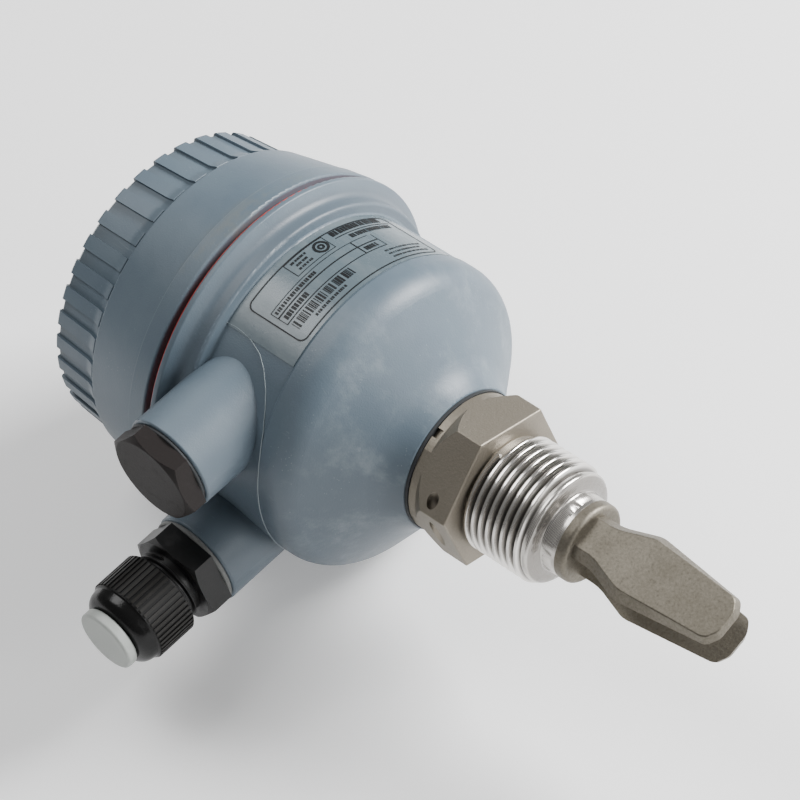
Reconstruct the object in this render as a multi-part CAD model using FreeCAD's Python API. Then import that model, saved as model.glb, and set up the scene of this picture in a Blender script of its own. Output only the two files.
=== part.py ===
import FreeCAD, Part
import math
import os

# Vibrating fork level switch. Millimetres. +X runs along the fork to its tips, the two conduit
# entries point to -Y, +Z is up. The origin is the centre of the hexagon's sealing face.
Vec = FreeCAD.Vector

# Roundings and clearances that several pieces share
fine_edge = 0.3
small_edge = 0.4
moulded_edge = 0.5
cut_over = 1.0              # cutters run this far past the face that they open
thread_fit = 0.05           # radial clearance of screwed pieces that turn

# Process connection and fork, one casting
thread_radius = 16.2
thread_length = 19.6
thread_bevel = 1.0
hex_shoulder = 2.8          # from the thread to the middle of a flat
hex_across_flats = 2 * (thread_radius + hex_shoulder)
hex_turn_angle = 12.7       # turn of the casting about X against the conduit entries
hex_thickness = 7.8
hex_edge_rounding = 0.45
hex_back_cone = 4.1
hex_cone_rounding = 2.0
hex_band_length = 2.5
hex_band_rise = 0.2         # the round band stands this far out past the flats
hex_band_rounding = 0.6
hex_band_radius = hex_across_flats / 2 + hex_band_rise
seal_hole_radius = 1.6      # lead-seal hole drilled across one corner of the hexagon
seal_hole_back = 5.8        # behind the sealing face
seal_hole_inset = 0.5       # from the plane of the flat
seal_hole_angle = -15.0
notch_width = 2.6
notch_length = 2.0
notch_depth = 1.2
notch_angle = 20.0
hub_step = 1.0
hub_radius = thread_radius - hub_step
hub_straight = 0.5
hub_rounding = 4.4
collar_foot = 0.4
collar_radius = hub_radius - hub_rounding
collar_length = 4.5
collar_rounding = 1.2
diaphragm_thickness = 2.3
sensor_bore_radius = 8.6
sensor_bore_back = 2.0      # where the sensor bore opens into the wider sleeve bore
sleeve_step = 1.2
sleeve_radius = thread_radius - sleeve_step
sleeve_wall = 3.0
sleeve_bore_radius = sleeve_radius - sleeve_wall
sleeve_length = 14.4

# Tines: half widths of the inner and the outer face at the root, the waist and the shoulder
tine_reach = 43.9           # from the collar's face to the tips
tine_gap = 9.8
tine_thickness = 2.8
tine_root_half = 6.6
tine_waist_run = 5.8
tine_shoulder_half = 9.9
tine_shoulder_run = 15.8
tine_end_half = 6.9
tine_tip_run = 2.0          # length of the tapered tip
tine_tip_fall = 3.3
tine_tip_half = tine_end_half - tine_tip_fall
tine_narrowing = 2.2        # how much narrower the outer face is at the root and shoulder
tine_tip_narrowing = 0.9
tine_tip_setback = 0.7
tine_tip_thinning = 0.5     # the outer face falls this much from shoulder to tip
tine_edge_rounding = 0.45
waist_rounding = 14.0
shoulder_rounding = 7.0
tip_rounding = 2.6
nose_rounding = 4.0

# Housing
neck_seal_thickness = 0.9
neck_seal_inset = 0.4
neck_step = 0.9             # the neck stands this far out past the flats
neck_radius = hex_across_flats / 2 + neck_step
neck_seal_radius = neck_radius - neck_seal_inset
neck_flare = 1.9
neck_root_radius = neck_radius + neck_flare     # where the neck's line meets the cone's
neck_length = 4.6
neck_rounding = 16.0
drum_radius = 42.7
cone_angle = 53.26          # of the shoulder's cone against the axis
shoulder_rounding_radius = 9.0
drum_length = 31.5
recess_depth = 0.35         # shallow band turned all round for the label
recess_from = 7.7           # from the drum's front corner
step_height = 2.6
step_slant = 0.5
step_length = 4.4
cove_length = 2.4
cove_rounding = 2.6
rim_stand_out = 6.3
rim_radius = drum_radius + rim_stand_out
rim_length = 1.7
rim_rounding = 0.6
spigot_step = 6.0
spigot_radius = rim_radius - spigot_step
spigot_length = 14.7
spigot_wall = 3.7
spigot_bevel = 0.8
ledge_width = 3.3
ledge_depth = 10.3          # from the drum's front corner to the ledge that carries the electronics
cone_wall = 3.2
cavity_rounding = 3.0
lock_seat_back = 6.5        # from the neck's end to the lock ring's flat seat
lock_seat_width = 5.5
neck_fit = 0.1
post_radius = 4.0
post_length = 9.5
post_inset = 3.0            # from the housing's bore to the posts' axes

# Conduit entries
entry_bore_radius = 10.0
boss_wall = 3.2
boss_radius = entry_bore_radius + boss_wall
boss_rim_space = 3.4        # from the rim to the bosses
boss_half_space = 6.2       # half the space between the two bosses
boss_stand_out = 11.6
boss_reach = drum_radius + boss_stand_out
boss_edge = 0.7
entry_half_spacing = boss_radius + boss_half_space

# Cover
cover_gap = 2.0             # between the rim and the cover, where the seal shows
cover_rim_step = 0.2
cover_rim_radius = rim_radius - cover_rim_step
cover_edge = 0.6
cover_band_length = 5.9     # from the rim to the mould line
cover_band_fall = 0.85
cover_band_radius = cover_rim_radius - cover_band_fall
cover_line_step = 0.15      # the mould parting line
cover_skirt_length = 17.6
cover_skirt_fall = 3.55
cover_skirt_radius = cover_band_radius - cover_skirt_fall
skirt_rounding = 0.7
grip_length = 15.4
grip_start_step = 1.1       # down to the valleys between the pads, where they meet the skirt
grip_start_radius = cover_skirt_radius - grip_start_step
grip_start_rounding = 0.2
grip_flare_length = 3.0
grip_flare_fall = 1.05
grip_waist_radius = grip_start_radius - grip_flare_fall
grip_fall = 0.95
grip_end_radius = grip_waist_radius - grip_fall
grip_flare_rounding = 5.0
cover_top_slope = 2.4
cover_top_rounding = 1.2
cover_crown = 2.1           # from the end of the grip to the flat top
cover_wall = 3.0
cover_floor_rounding = 2.0
cover_bore_clearance = 0.3
cover_bore_extra = 2.0      # the bore runs this far past the spigot
pad_count = 36
pad_angle = 5.2
pad_first_angle = 1.0       # where the first pad begins, from +Y
pad_height = 0.7
pad_depth = 1.5             # how far the pads reach into the wall that carries them
pad_end_gap = 0.3
pad_over_top = 0.8
pad_rounding = 0.8
seal_section_radius = 1.1
seal_clearance = 0.1
seal_recess_width = 2.6
seal_recess_radius = spigot_radius + seal_recess_width
seal_recess_depth = 1.8

# Blanking plug
entry_flat_step = 2.0       # from an entry's bore to the flats of what is screwed into it
entry_across_flats = 2 * (entry_bore_radius + entry_flat_step)
washer_bore_clearance = 0.3
plug_seal_thickness = 1.0
plug_seal_inset = 0.6
plug_seal_radius = boss_radius - plug_seal_inset
plug_head = 5.3
plug_face_inset = 0.2
plug_face_rounding = 0.8
plug_chamfer = 1.3
plug_hex_angle = 45.0
plug_shank = 11.0
plug_wall = 2.8
plug_hollow_radius = entry_bore_radius - plug_wall
plug_web = 3.5

# Cable gland
washer_thickness = 1.3
washer_inset = 0.5
washer_radius = boss_radius - washer_inset
gland_hex_angle = 48.0
gland_hex_length = 6.8
gland_hex_bevel = 0.9
gland_shank = 11.0
gland_wall = 3.5
gland_bore_radius = entry_bore_radius - gland_wall
gland_neck_radius = entry_bore_radius
gland_neck_length = 12.0
grommet_wall = 2.0
grommet_seat_radius = gland_neck_radius - grommet_wall
grommet_seat_depth = 9.0
grommet_thickness = 3.4
grommet_bore_radius = grommet_seat_radius - grommet_thickness
grommet_stand_out = 1.5
grommet_nose_step = 1.2
nut_gap = 4.3               # thread left bare between the hexagon and the nut
nut_wall = 1.65
nut_radius = gland_neck_radius + nut_wall
nut_grip_length = 12.1
nut_rib_count = 48
nut_rib_height = 0.3
nut_rib_root = 0.5
nut_rib_share = 0.5
nut_dome_length = 4.7
nut_front_step = 1.25
nut_dome_rounding = 3.6
nut_thread_spare = 1.5
slip_ring_thickness = 1.5
slip_ring_overlap = 0.9
slip_ring_radius = grommet_seat_radius + slip_ring_overlap
slip_ring_bore_step = 0.4
slip_ring_bore = grommet_bore_radius + slip_ring_bore_step
slip_ring_clearance = 0.3
nut_lip = 2.5
nut_bore_radius = slip_ring_radius - nut_lip
transit_disc_overlap = 2.25
transit_disc_radius = nut_bore_radius + transit_disc_overlap
transit_disc_gap = 0.1
transit_disc_thickness = 3.2
transit_disc_rounding = 0.8
transit_fit = 0.08          # radial clearance of the stem in the grommet
transit_stem_length = 16.5
transit_stem_rounding = 0.6

# Rating label
label_thickness = 0.2
label_start_angle = 40.0    # about X, from +Y towards +Z
label_sweep_angle = 81.5
label_margin = 0.6          # from each end of the band that it lies in

# Electronics
flange_thickness = 3.0
flange_clearance = 0.3
module_inset = 5.8
module_length = 39.0
module_flat = 14.0          # distance of the flat wiring side from the axis
board_thickness = 1.6
board_inset = 1.0
board_flat = 13.0
module_screw_radius = 1.45
module_screw_head = 2.4
module_screw_head_height = 2.0
module_screw_length = 10.0
module_screw_spare = 1.0    # the hole is this much deeper than the screw
module_screw_fit = 0.05
module_screw_clearance = 0.25
block_width = 34.0
block_depth = 12.0
block_height = 11.0
block_edge = 12.0
terminal_count = 4
terminal_pitch = 8.0
port_size = 5.4
port_depth = 8.5
port_lift = 1.5
screw_well_clearance = 0.3
screw_well_depth = 2.6
terminal_screw_radius = 2.1
terminal_screw_height = 1.8
terminal_screw_slot = 0.6
terminal_slot_depth = 0.8
clamp_wall = 0.6
clamp_clearance = 0.15
clamp_length = 6.0
selector_y = 16.0
selector_z = 9.0
selector_base = 11.0
selector_base_height = 4.0
selector_radius = 4.0
selector_well_clearance = 0.3
selector_height = 3.0
selector_recess = 1.0
selector_slot_width = 1.0
selector_slot_depth = 1.2
selector_slot_inset = 0.8
led_radius = 1.5
led_dome_rounding = 1.35
led_height = 3.4
led_foot_step = 0.3
led_foot_height = 1.0
led_y = 16.0
led_z = -8.0
led_spacing = 7.0
connector_width = 20.0
connector_depth = 8.0
connector_height = 6.0

# Sensor stack inside the casting
stud_radius = 1.5
stud_spare = 1.6            # stud left bare behind the nut
stack_fit = 0.05
press_disc_inset = 2.1
press_disc_radius = sensor_bore_radius - press_disc_inset
press_disc_thickness = 3.0
insulator_inset = 2.6
insulator_radius = sensor_bore_radius - insulator_inset
insulator_thickness = 1.0
insulator_clearance = 0.4
piezo_inset = 3.1
piezo_radius = sensor_bore_radius - piezo_inset
piezo_thickness = 2.5
piezo_clearance = 0.7
piezo_bore = stud_radius + piezo_clearance
electrode_thickness = 0.3
electrode_inset = 2.8
electrode_radius = sensor_bore_radius - electrode_inset
tab_width = 3.0
tab_root = 1.0
tab_inset = 0.7
tab_reach = sensor_bore_radius - tab_inset
stack_nut_across_flats = 5.5
stack_nut_thickness = 3.0
lead_radius = 0.6
lead_inset = 1.6
lead_offset = sensor_bore_radius - lead_inset
lock_ring_length = 5.0
lock_ring_width = 4.0
lock_ring_radius = sleeve_radius + lock_ring_width
lock_ring_slots = 4
lock_ring_slot_width = 3.0
lock_ring_slot_depth = 1.6

# Places along X worked out from the sizes
back_face = -(hex_thickness + hex_back_cone + hex_band_length)
neck_end = back_face - neck_seal_thickness
lock_seat = neck_end - lock_seat_back
lock_seat_radius = sleeve_radius + lock_seat_width
cone_run = (drum_radius - neck_root_radius) / math.tan(math.radians(cone_angle))
drum_start = neck_end - neck_length - cone_run
ledge = drum_start - ledge_depth
recess_front = drum_start - recess_from
recess_radius = drum_radius - recess_depth
step_front = drum_start - drum_length
cove_start = step_front - step_length
rim_start = cove_start - cove_length
rim_face = rim_start - rim_length
spigot_end = rim_face - spigot_length
entry_x = rim_face + boss_rim_space + boss_radius
cover_rim = rim_face - cover_gap
band_end = cover_rim - cover_band_length
skirt_end = band_end - cover_skirt_length
grip_end = skirt_end - grip_length
cover_top = grip_end - cover_crown
thread_end = thread_length
hub_end = thread_end + hub_straight + hub_rounding
collar_face = hub_end + collar_length
diaphragm = collar_face - diaphragm_thickness
tine_tip = collar_face + tine_reach
housing_bore = spigot_radius - spigot_wall
ledge_radius = housing_bore - ledge_width
post_circle = housing_bore - post_inset
post_turns = (0, 120, 240)
module_radius = housing_bore - module_inset
board_radius = module_radius - board_inset
label_front = recess_front - label_margin
label_back = step_front + label_margin


def corner_arc(before, corner, after, radius):
    # Tangent points and middle of the arc that rounds one corner of a flat outline
    to_before = (before - corner).normalize()
    to_after = (after - corner).normalize()
    half = to_before.getAngle(to_after) / 2
    run = radius / math.tan(half)
    middle = (to_before + to_after).normalize()
    reach = radius / math.sin(half) - radius
    return corner + to_before * run, corner + middle * reach, corner + to_after * run


def outline(corners):
    # Closed wire in the XY plane from (x, y, rounding) corners
    points = [Vec(x, y, 0) for x, y, _ in corners]
    edges = []
    ends = []
    for i, (_, _, rounding) in enumerate(corners):
        if rounding > 0:
            arc = corner_arc(points[i - 1], points[i], points[(i + 1) % len(points)], rounding)
            ends.append((arc[0], arc[2]))
            edges.append(Part.Arc(arc[0], arc[1], arc[2]).toShape())
        else:
            ends.append((points[i], points[i]))
            edges.append(None)
    chain = []
    for i in range(len(points)):
        if edges[i] is not None:
            chain.append(edges[i])
        start = ends[i][1]
        end = ends[(i + 1) % len(points)][0]
        if start.distanceToPoint(end) > 1e-6:
            chain.append(Part.makeLine(start, end))
    return Part.Wire(chain)


def turned(corners, angle=360):
    # Solid of revolution about X from (x, radius, rounding) corners
    face = Part.Face(outline(corners))
    return face.revolve(Vec(0, 0, 0), Vec(1, 0, 0), angle)


def rod(start, end, radius, rounding=0):
    # Plain round bar along X from start to end
    return turned([(start, 0, 0), (start, radius, rounding), (end, radius, rounding), (end, 0, 0)])


def tube(start, end, radius, bore, rounding=0):
    return turned([(start, bore, 0), (start, radius, rounding), (end, radius, rounding), (end, bore, 0)])


def corner_reach(across_flats):
    return across_flats / 2 / math.cos(math.pi / 6)


def hexagon(start, end, across_flats, turn):
    # Hexagonal bar along X
    corner = corner_reach(across_flats)
    angles = [math.radians(turn + 60 * k) for k in range(7)]
    points = [Vec(start, corner * math.cos(angle), corner * math.sin(angle)) for angle in angles]
    return Part.Face(Part.makePolygon(points)).extrude(Vec(end - start, 0, 0))


def hexagon_head(start, end, across_flats, turn, chamfer, face_radius, rounding=0):
    # Hexagon whose outer face is turned to a cone over its corners
    clear = corner_reach(across_flats) + cut_over
    edge = corner_reach(across_flats)
    shaper = turned([(start, 0, 0), (start, clear, 0), (end - chamfer - cut_over, clear, 0),
                     (end - chamfer, edge, 0), (end, face_radius, rounding), (end, 0, 0)])
    return hexagon(start, end, across_flats, turn).common(shaper)


def peg(start, length, radius, y=0, z=0):
    # Cylinder that runs along +X from a start
    return Part.makeCylinder(radius, length, Vec(start, y, z), Vec(1, 0, 0))


def at_entry(shape, side):
    # Moves a piece built along +X so that its X runs out along -Y at one of the two entries
    moved = shape.copy()
    moved.rotate(Vec(0, 0, 0), Vec(0, 0, 1), -90)
    moved.translate(Vec(entry_x, 0, side * entry_half_spacing))
    return moved


def about_x(shape, degrees):
    moved = shape.copy()
    moved.rotate(Vec(0, 0, 0), Vec(1, 0, 0), degrees)
    return moved


def d_shape(start, end, radius, flat):
    # Round bar along X with its -Y side cut flat
    size = 2 * radius
    corner = Vec(start - cut_over, -flat - size, -size)
    cutter = Part.makeBox(end - start + 2 * cut_over, size, 2 * size, corner)
    return rod(start, end, radius).cut(cutter)


def save(node, shape):
    shape.exportStep("parts/" + node + ".step")
    print(node, len(shape.Solids), "solids", round(shape.Volume, 2), "mm3")


# Tine outlines
def tine_face(height, narrower, tip_narrower, setback):
    # One face of a tine: symmetric outline in X and width, lying at a height above the mid plane
    # The outer face is narrower and ends earlier than the inner one, which gives the slanted sides
    root = tine_root_half - narrower
    shoulder = tine_shoulder_half - narrower
    end = tine_end_half - tip_narrower
    tip = tine_tip_half - tip_narrower
    reach = tine_tip - setback
    start = collar_face - collar_rounding
    waist_x = collar_face + tine_waist_run
    shoulder_x = collar_face + tine_shoulder_run
    side = [(start, root, 0), (waist_x, root, waist_rounding), (shoulder_x, shoulder, shoulder_rounding),
            (reach - tine_tip_run, end, tip_rounding), (reach, tip, nose_rounding)]
    corners = side + [(x, -y, rounding) for x, y, rounding in reversed(side)]
    wire = outline(corners)
    wire.translate(Vec(0, 0, height))
    return wire


def make_tine():
    top = tine_gap / 2 + tine_thickness
    inner = tine_face(tine_gap / 2, 0, 0, 0)
    outer = tine_face(top, tine_narrowing, tine_tip_narrowing, tine_tip_setback)
    tine = Part.makeLoft([inner, outer], True, True)
    shoulder_x = collar_face + tine_shoulder_run
    beyond = tine_tip + cut_over
    fall = tine_tip_thinning * (beyond - shoulder_x) / (tine_tip - shoulder_x)
    wedge = Part.Face(Part.makePolygon([Vec(shoulder_x, 0, top), Vec(beyond, 0, top - fall),
                                        Vec(beyond, 0, top + cut_over), Vec(shoulder_x, 0, top + cut_over),
                                        Vec(shoulder_x, 0, top)]))
    width = 2 * (tine_shoulder_half + cut_over)
    wedge = wedge.extrude(Vec(0, width, 0))
    wedge.translate(Vec(0, -width / 2, 0))
    tine = tine.cut(wedge)
    # The rims of the outer face run along X, off the mid plane, above where the wedge ends
    rims = [edge for edge in tine.Edges
            if edge.BoundBox.ZMin > top - fall - tine_edge_rounding / 2 and edge.BoundBox.XMin > collar_face
            and edge.BoundBox.XLength > 0.01 and abs(edge.CenterOfMass.y) > 0.01]
    return tine.makeFillet(tine_edge_rounding, rims)


def make_process_fork():
    corner = corner_reach(hex_across_flats)
    bar = hexagon(back_face, 0, hex_across_flats, 90)
    soft_edges = [edge for edge in bar.Edges if edge.BoundBox.XMax > -hex_edge_rounding]
    bar = bar.makeFillet(hex_edge_rounding, soft_edges)
    shaper = turned([(back_face, 0, 0), (back_face, hex_band_radius, fine_edge),
                     (back_face + hex_band_length, hex_band_radius, hex_band_rounding),
                     (-hex_thickness, corner, hex_cone_rounding), (cut_over, corner, 0), (cut_over, 0, 0)])
    head = bar.common(shaper)
    stem = turned([(back_face - sleeve_length, sleeve_bore_radius, 0),
                   (back_face - sleeve_length, sleeve_radius, moulded_edge),
                   (-cut_over, sleeve_radius, 0),
                   (-cut_over, thread_radius, 0),
                   (thread_end - thread_bevel, thread_radius, 0),
                   (thread_end, hub_radius, 0),
                   (hub_end, hub_radius, hub_rounding),
                   (hub_end, collar_radius - collar_foot, 0),
                   (hub_end + collar_foot, collar_radius, 0),
                   (collar_face, collar_radius, collar_rounding),
                   (collar_face, 0, 0),
                   (-sensor_bore_back, 0, 0),
                   (-sensor_bore_back, sleeve_bore_radius, 0)])
    bore = rod(-sensor_bore_back - cut_over, diaphragm, sensor_bore_radius)
    sleeve_bore = rod(back_face - sleeve_length - cut_over, -sensor_bore_back, sleeve_bore_radius)
    tine = make_tine()
    mirrored = tine.mirror(Vec(0, 0, 0), Vec(0, 0, 1))
    hole_start = Vec(-seal_hole_back, seal_hole_inset - hex_across_flats / 2, -corner)
    seal_hole = Part.makeCylinder(seal_hole_radius, 2 * corner, hole_start, Vec(0, 0, 1))
    seal_hole = about_x(seal_hole, seal_hole_angle)
    solid = head.fuse(stem).fuse([tine, mirrored]).removeSplitter()
    solid = about_x(solid.cut([bore, sleeve_bore, seal_hole]), hex_turn_angle)
    notch = Part.makeBox(notch_length + cut_over, notch_width, 2 * notch_depth,
                         Vec(back_face - cut_over, -notch_width / 2, hex_band_radius - notch_depth))
    return solid.cut(about_x(notch, notch_angle))


def make_housing():
    cone_top = (drum_start, drum_radius)
    cone_foot = (neck_end - neck_length, neck_root_radius)
    slope = math.atan2(cone_top[1] - cone_foot[1], cone_foot[0] - cone_top[0])
    shift_x = -cone_wall * math.sin(slope)
    shift_r = -cone_wall * math.cos(slope)
    # The inner cone runs parallel to the outer one, a wall's thickness inside it
    ledge_x = cone_top[0] + shift_x + (cone_top[1] + shift_r - ledge_radius) / math.tan(slope)
    seat_r = lock_seat_radius
    seat_cone_x = cone_foot[0] + shift_x - (seat_r - cone_foot[1] - shift_r) / math.tan(slope)
    body = turned([(neck_end, 0, 0),
                   (neck_end, neck_radius, small_edge),
                   (cone_foot[0], cone_foot[1], neck_rounding),
                   (cone_top[0], drum_radius, shoulder_rounding_radius),
                   (recess_front, drum_radius, small_edge),
                   (recess_front - recess_depth, recess_radius, small_edge),
                   (step_front, recess_radius, 2 * small_edge),
                   (step_front - step_slant, drum_radius + step_height, 2 * moulded_edge),
                   (cove_start, drum_radius + step_height, cove_rounding),
                   (rim_start, rim_radius, rim_rounding),
                   (rim_face, rim_radius, rim_rounding),
                   (rim_face, spigot_radius, 0),
                   (spigot_end + spigot_bevel, spigot_radius, 0),
                   (spigot_end, spigot_radius - spigot_bevel, 0),
                   (spigot_end, 0, 0)])
    # The bosses and their bores start at the axis, and the cavity opens what lies inside the wall
    bosses = [at_entry(rod(0, boss_reach, boss_radius, boss_edge), side) for side in (1, -1)]
    cavity = turned([(spigot_end - cut_over, 0, 0),
                     (spigot_end - cut_over, housing_bore, 0),
                     (ledge, housing_bore, 0),
                     (ledge, ledge_radius, 0),
                     (ledge_x, ledge_radius, cavity_rounding),
                     (seat_cone_x, seat_r, 0),
                     (lock_seat, seat_r, 0),
                     (lock_seat, 0, 0)])
    neck_bore = rod(lock_seat - cut_over, neck_end + cut_over, sleeve_radius + neck_fit)
    post = peg(ledge, post_length, post_radius, post_circle)
    hole_depth = module_screw_length - flange_thickness + module_screw_spare
    hole_radius = module_screw_radius + module_screw_fit
    post_hole = peg(ledge - cut_over, hole_depth + cut_over, hole_radius, post_circle)
    bores = [at_entry(rod(0, boss_reach + cut_over, entry_bore_radius), side) for side in (1, -1)]
    solid = body.fuse(bosses).removeSplitter()
    solid = solid.cut([cavity, neck_bore])
    solid = solid.fuse([about_x(post, turn).common(body) for turn in post_turns]).removeSplitter()
    return solid.cut([about_x(post_hole, turn) for turn in post_turns] + bores)


def make_cover():
    bore_end = spigot_end - cover_bore_extra
    grip_bore = grip_end_radius - cover_wall
    flare_end = skirt_end - grip_flare_length
    outer = turned([(cover_rim, 0, 0),
                    (cover_rim, cover_rim_radius, cover_edge),
                    (band_end, cover_band_radius, 0),
                    (band_end, cover_band_radius - cover_line_step, 0),
                    (skirt_end, cover_skirt_radius, skirt_rounding),
                    (skirt_end, grip_start_radius, grip_start_rounding),
                    (flare_end, grip_waist_radius, grip_flare_rounding),
                    (grip_end, grip_end_radius, small_edge),
                    (cover_top, grip_end_radius - cover_top_slope, cover_top_rounding),
                    (cover_top, 0, 0)])
    bore = spigot_radius + cover_bore_clearance
    hollow = turned([(cover_rim + cut_over, 0, 0),
                     (cover_rim + cut_over, seal_recess_radius, 0),
                     (cover_rim - seal_recess_depth, seal_recess_radius, 0),
                     (cover_rim - seal_recess_depth, bore, 0),
                     (bore_end, bore, 0),
                     (bore_end - bore + grip_bore, grip_bore, 0),
                     (cover_top + cover_wall, grip_bore, cover_floor_rounding),
                     (cover_top + cover_wall, 0, 0)])
    pad_low = skirt_end - pad_end_gap
    pad_high = grip_end - pad_over_top
    pad = turned([(pad_low, grip_start_radius - pad_depth, 0),
                  (pad_low, grip_start_radius + pad_height, fine_edge),
                  (flare_end, grip_waist_radius + pad_height, grip_flare_rounding),
                  (pad_high, grip_end_radius + pad_height, pad_rounding),
                  (pad_high, grip_end_radius - pad_depth, 0)], pad_angle)
    step = 360 / pad_count
    pads = [about_x(pad, pad_first_angle + step * k) for k in range(pad_count)]
    return outer.fuse(pads).removeSplitter().cut(hollow)


def make_cover_seal():
    centre_x = rim_face - seal_clearance - seal_section_radius
    centre_r = seal_recess_radius - seal_clearance - seal_section_radius
    return Part.makeTorus(centre_r, seal_section_radius, Vec(centre_x, 0, 0), Vec(1, 0, 0))


def make_label():
    outer = recess_radius + label_thickness
    film = turned([(label_back, recess_radius, 0), (label_back, outer, 0), (label_front, outer, 0),
                   (label_front, recess_radius, 0)], label_sweep_angle)
    return about_x(film, label_start_angle)


def make_plug():
    seat = boss_reach + plug_seal_thickness
    face = seat + plug_head
    face_radius = entry_across_flats / 2 - plug_face_inset
    head = hexagon_head(seat, face, entry_across_flats, plug_hex_angle, plug_chamfer, face_radius,
                        plug_face_rounding)
    shank = rod(seat - plug_shank, seat + cut_over, entry_bore_radius - thread_fit)
    hollow = rod(seat - plug_shank - cut_over, face - plug_web, plug_hollow_radius)
    return at_entry(head.fuse(shank).removeSplitter().cut(hollow), 1)


def make_plug_seal():
    bore = entry_bore_radius + washer_bore_clearance
    return at_entry(tube(boss_reach, boss_reach + plug_seal_thickness, plug_seal_radius, bore, small_edge), 1)


gland_seat = boss_reach + washer_thickness
gland_hex_end = gland_seat + gland_hex_length
gland_neck_end = gland_hex_end + gland_neck_length
nut_back = gland_hex_end + nut_gap
nut_grip_end = nut_back + nut_grip_length
nut_front = nut_grip_end + nut_dome_length
grommet_base = gland_neck_end - grommet_seat_depth
grommet_front = gland_neck_end + grommet_stand_out
disc_back = nut_front + transit_disc_gap


def make_gland_washer():
    bore = entry_bore_radius + washer_bore_clearance
    return at_entry(tube(boss_reach, gland_seat, washer_radius, bore, small_edge), -1)


def make_gland_body():
    shank = rod(gland_seat - gland_shank, gland_seat + cut_over, entry_bore_radius - thread_fit)
    head = hexagon_head(gland_seat, gland_hex_end, entry_across_flats, gland_hex_angle, gland_hex_bevel,
                        entry_across_flats / 2)
    neck = rod(gland_hex_end - cut_over, gland_neck_end, gland_neck_radius, moulded_edge)
    bore = rod(gland_seat - gland_shank - cut_over, grommet_base + cut_over, gland_bore_radius)
    seat = rod(grommet_base, gland_neck_end + cut_over, grommet_seat_radius)
    return at_entry(head.fuse([shank, neck]).removeSplitter().cut([bore, seat]), -1)


def make_grommet():
    outer = grommet_seat_radius - thread_fit
    return at_entry(turned([(grommet_base, grommet_bore_radius, 0), (grommet_base, outer, 0),
                            (gland_neck_end - moulded_edge, outer, 0),
                            (grommet_front, outer - grommet_nose_step, small_edge),
                            (grommet_front, grommet_bore_radius, 0)]), -1)


def make_slip_ring():
    return at_entry(tube(grommet_front, grommet_front + slip_ring_thickness, slip_ring_radius,
                         slip_ring_bore, fine_edge), -1)


def make_gland_nut():
    front_radius = nut_radius - nut_front_step
    core = turned([(nut_back, 0, 0), (nut_back, nut_radius, moulded_edge),
                   (nut_grip_end, nut_radius, 0),
                   (nut_grip_end + small_edge, nut_radius - small_edge, 0),
                   (nut_front, front_radius, nut_dome_rounding), (nut_front, 0, 0)])
    rib_angle = 360 / nut_rib_count
    rib_start = nut_back + moulded_edge
    rib_end = nut_grip_end - fine_edge
    rib_foot = nut_radius - nut_rib_root
    rib_top = nut_radius + nut_rib_height
    rib = turned([(rib_start, rib_foot, 0), (rib_start, rib_top, nut_rib_height / 2),
                  (rib_end, rib_top, nut_rib_height / 2), (rib_end, rib_foot, 0)], rib_angle * nut_rib_share)
    ribs = [about_x(rib, rib_angle * k) for k in range(nut_rib_count)]
    thread_bore = gland_neck_radius + thread_fit
    thread_stop = gland_neck_end + nut_thread_spare
    ring_room = slip_ring_radius + slip_ring_clearance
    ring_stop = grommet_front + slip_ring_thickness
    nut_open = nut_back - cut_over
    beyond = nut_front + cut_over
    hollow = turned([(nut_open, 0, 0), (nut_open, thread_bore, 0), (thread_stop, thread_bore, 0),
                     (thread_stop, ring_room, 0), (ring_stop, ring_room, 0), (ring_stop, nut_bore_radius, 0),
                     (beyond, nut_bore_radius, 0), (beyond, 0, 0)])
    return at_entry(core.fuse(ribs).removeSplitter().cut(hollow), -1)


def make_transit_plug():
    disc = rod(disc_back, disc_back + transit_disc_thickness, transit_disc_radius, transit_disc_rounding)
    stem = rod(disc_back - transit_stem_length, disc_back + cut_over, grommet_bore_radius - transit_fit,
               transit_stem_rounding)
    return at_entry(disc.fuse(stem).removeSplitter(), -1)


def make_neck_seal():
    return tube(neck_end, back_face, neck_seal_radius, sleeve_radius + neck_fit)


def make_lock_ring():
    ring_back = lock_seat - lock_ring_length
    ring = tube(ring_back, lock_seat, lock_ring_radius, sleeve_radius + stack_fit, moulded_edge)
    slot_floor = lock_ring_radius - lock_ring_slot_depth
    corner = Vec(ring_back - cut_over, -lock_ring_slot_width / 2, slot_floor)
    slot_size = lock_ring_slot_depth + cut_over
    slot = Part.makeBox(lock_ring_length + 2 * cut_over, lock_ring_slot_width, slot_size, corner)
    return ring.cut([about_x(slot, 360 / lock_ring_slots * k) for k in range(lock_ring_slots)])


# Electronics, stacked on the housing's ledge
flange_top = ledge - flange_thickness
module_top = ledge - module_length
board_top = module_top - board_thickness
block_top = board_top - block_height


def make_module():
    flange = rod(flange_top, ledge, housing_bore - flange_clearance, moulded_edge)
    case = d_shape(module_top, flange_top + cut_over, module_radius, module_flat)
    hole = peg(flange_top - cut_over, flange_thickness + 2 * cut_over,
               module_screw_radius + module_screw_clearance, post_circle)
    return flange.fuse(case).removeSplitter().cut([about_x(hole, turn) for turn in post_turns])


def make_module_screws():
    head_start = flange_top - module_screw_head_height
    head = peg(head_start, module_screw_head_height, module_screw_head, post_circle)
    shank = peg(flange_top, module_screw_length, module_screw_radius, post_circle)
    socket = peg(head_start, module_screw_head_height / 2, module_screw_head / 2, post_circle)
    screw = head.fuse(shank).removeSplitter().cut(socket)
    return Part.makeCompound([about_x(screw, turn) for turn in post_turns])


def make_board():
    return d_shape(board_top, module_top, board_radius, board_flat)


def terminal_places():
    first = -(terminal_count - 1) / 2 * terminal_pitch
    return [first + terminal_pitch * k for k in range(terminal_count)]


block_edge_y = -block_edge
screw_y = block_edge_y + block_depth / 2


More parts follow.
